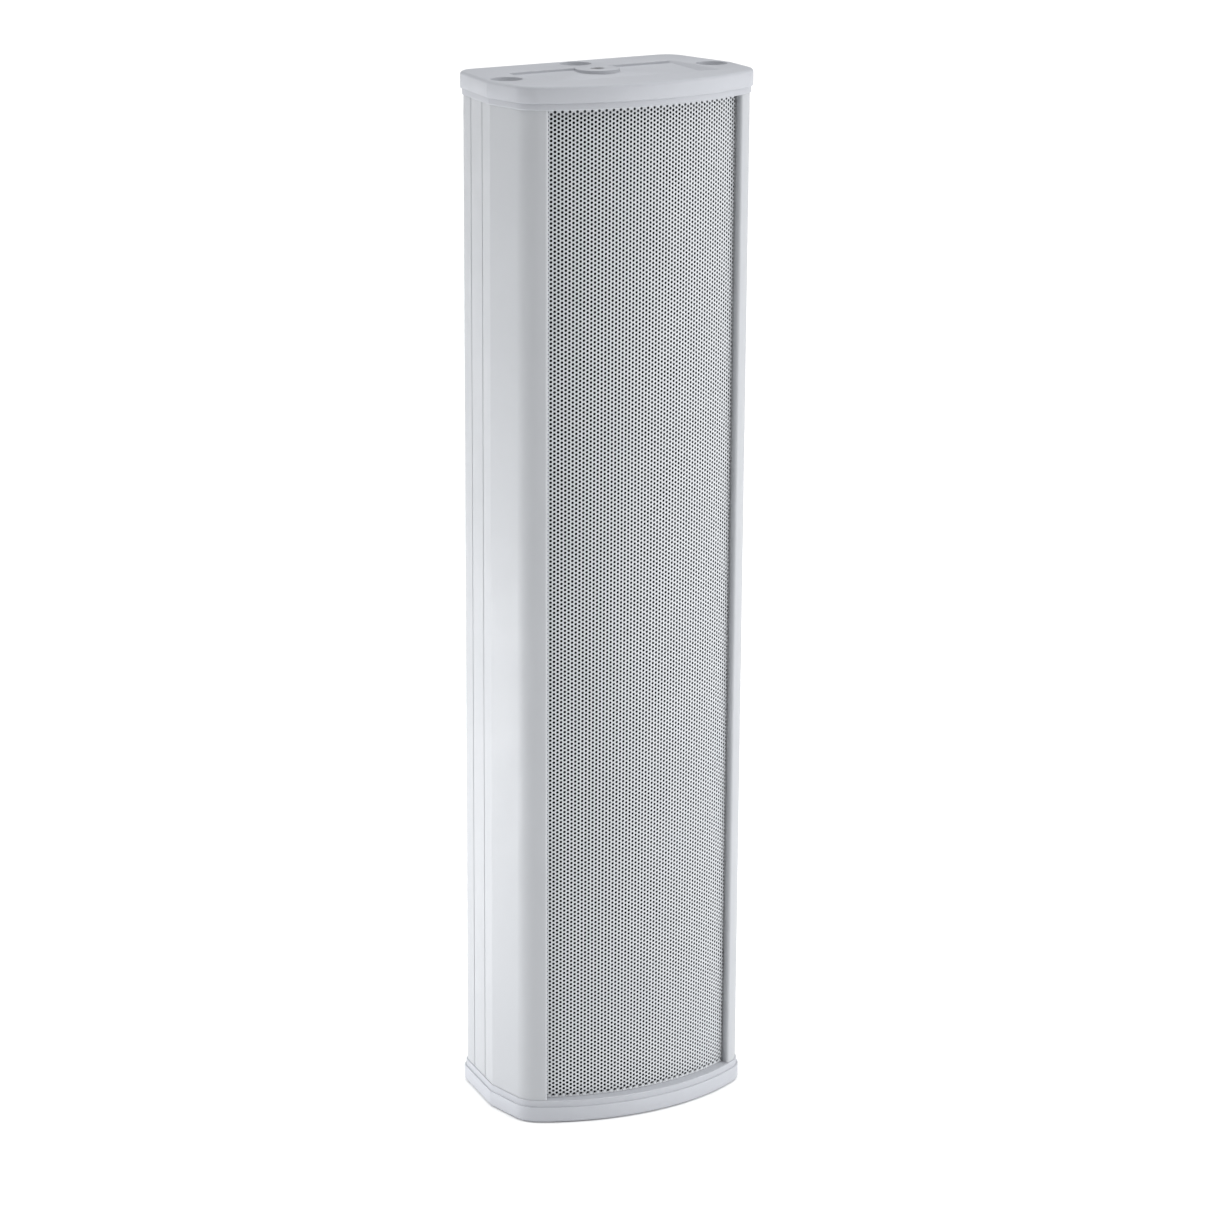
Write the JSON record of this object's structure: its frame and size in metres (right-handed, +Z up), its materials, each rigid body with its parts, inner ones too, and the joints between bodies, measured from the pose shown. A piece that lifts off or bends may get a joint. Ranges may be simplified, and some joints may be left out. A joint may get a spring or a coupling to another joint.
{
  "type": "column loudspeaker",
  "caption": "Slim column loudspeaker for public address: metal extrusion with a curved perforated front grille, moulded end caps with pivot bosses, and a row of drive units inside.",
  "frame": {"origin": "middle of the footprint, on the face the column stands on", "axes": "+Z up along the column, -Y is the front with the grille, +X to the right seen from the front"},
  "size_m": [0.1328, 0.0896, 0.505],
  "materials": {
    "white_powder_coat": "satin powder coat on aluminium",
    "white_abs": "fine-textured moulding",
    "white_grille": "painted perforated steel sheet",
    "black_cloth": "open acoustic cloth",
    "baffle_board": "dark fibre board",
    "zinc_steel": "zinc-plated pressed steel",
    "ferrite": "ground ceramic magnet",
    "copper_wire": "enamelled copper winding",
    "treated_cloth": "resin-treated cloth",
    "black_rubber": "soft black rubber",
    "black_paper": "pressed paper pulp",
    "brass": "turned brass",
    "zinc_screw": "zinc-plated",
    "insulation": "cream insulating plastic and tape",
    "grey_foam": "open-cell foam",
    "grey_felt": "needled felt"
  },
  "bodies": {
    "cabinet": {"housing": "white_powder_coat", "top_cap": "white_abs", "bottom_cap": "white_abs", "grille": "white_grille", "grille_cloth": "black_cloth", "baffle": "baffle_board", "top_seal": "grey_foam", "bottom_seal": "grey_foam", "top_pivot_insert": "brass", "bottom_pivot_insert": "brass", "transformer_core": "zinc_steel", "transformer_coil": "insulation", "transformer_bracket": "zinc_screw", "terminal_block": "insulation", "cable_grommet": "black_rubber", "damping_pad": "grey_felt", "top_screw_left": "zinc_screw", "top_screw_right": "zinc_screw", "top_screw_rear": "zinc_screw", "bottom_screw_left": "zinc_screw", "bottom_screw_right": "zinc_screw", "bottom_screw_rear": "zinc_screw", "driver_1_basket": "zinc_steel", "driver_1_top_plate": "zinc_steel", "driver_1_magnet": "ferrite", "driver_1_yoke": "zinc_steel", "driver_1_spider": "treated_cloth", "driver_1_surround": "black_rubber", "driver_2_basket": "zinc_steel", "driver_2_top_plate": "zinc_steel", "driver_2_magnet": "ferrite", "driver_2_yoke": "zinc_steel", "driver_2_spider": "treated_cloth", "driver_2_surround": "black_rubber", "driver_3_basket": "zinc_steel", "driver_3_top_plate": "zinc_steel", "driver_3_magnet": "ferrite", "driver_3_yoke": "zinc_steel", "driver_3_spider": "treated_cloth", "driver_3_surround": "black_rubber", "driver_4_basket": "zinc_steel", "driver_4_top_plate": "zinc_steel", "driver_4_magnet": "ferrite", "driver_4_yoke": "zinc_steel", "driver_4_spider": "treated_cloth", "driver_4_surround": "black_rubber"},
    "diaphragm_1": {"driver_1_cone": "black_paper", "driver_1_dust_cap": "black_paper", "driver_1_voice_coil": "copper_wire"},
    "diaphragm_2": {"driver_2_cone": "black_paper", "driver_2_dust_cap": "black_paper", "driver_2_voice_coil": "copper_wire"},
    "diaphragm_3": {"driver_3_cone": "black_paper", "driver_3_dust_cap": "black_paper", "driver_3_voice_coil": "copper_wire"},
    "diaphragm_4": {"driver_4_cone": "black_paper", "driver_4_dust_cap": "black_paper", "driver_4_voice_coil": "copper_wire"}
  },
  "joints": [
    {"name": "cone_1_stroke", "type": "slide", "parent": "cabinet", "child": "diaphragm_1", "axis": [0, -1, 0], "range_m": [-0.002, 0.002], "stiffness_N_per_m": 1000, "deforming": ["driver_1_surround", "driver_1_spider"]},
    {"name": "cone_2_stroke", "type": "slide", "parent": "cabinet", "child": "diaphragm_2", "axis": [0, -1, 0], "range_m": [-0.002, 0.002], "stiffness_N_per_m": 1000, "deforming": ["driver_2_surround", "driver_2_spider"]},
    {"name": "cone_3_stroke", "type": "slide", "parent": "cabinet", "child": "diaphragm_3", "axis": [0, -1, 0], "range_m": [-0.002, 0.002], "stiffness_N_per_m": 1000, "deforming": ["driver_3_surround", "driver_3_spider"]},
    {"name": "cone_4_stroke", "type": "slide", "parent": "cabinet", "child": "diaphragm_4", "axis": [0, -1, 0], "range_m": [-0.002, 0.002], "stiffness_N_per_m": 1000, "deforming": ["driver_4_surround", "driver_4_spider"]}
  ],
  "couplings": [
    {"joint": "cone_2_stroke", "follows": "cone_1_stroke", "ratio": 1},
    {"joint": "cone_3_stroke", "follows": "cone_1_stroke", "ratio": 1},
    {"joint": "cone_4_stroke", "follows": "cone_1_stroke", "ratio": 1}
  ]
}
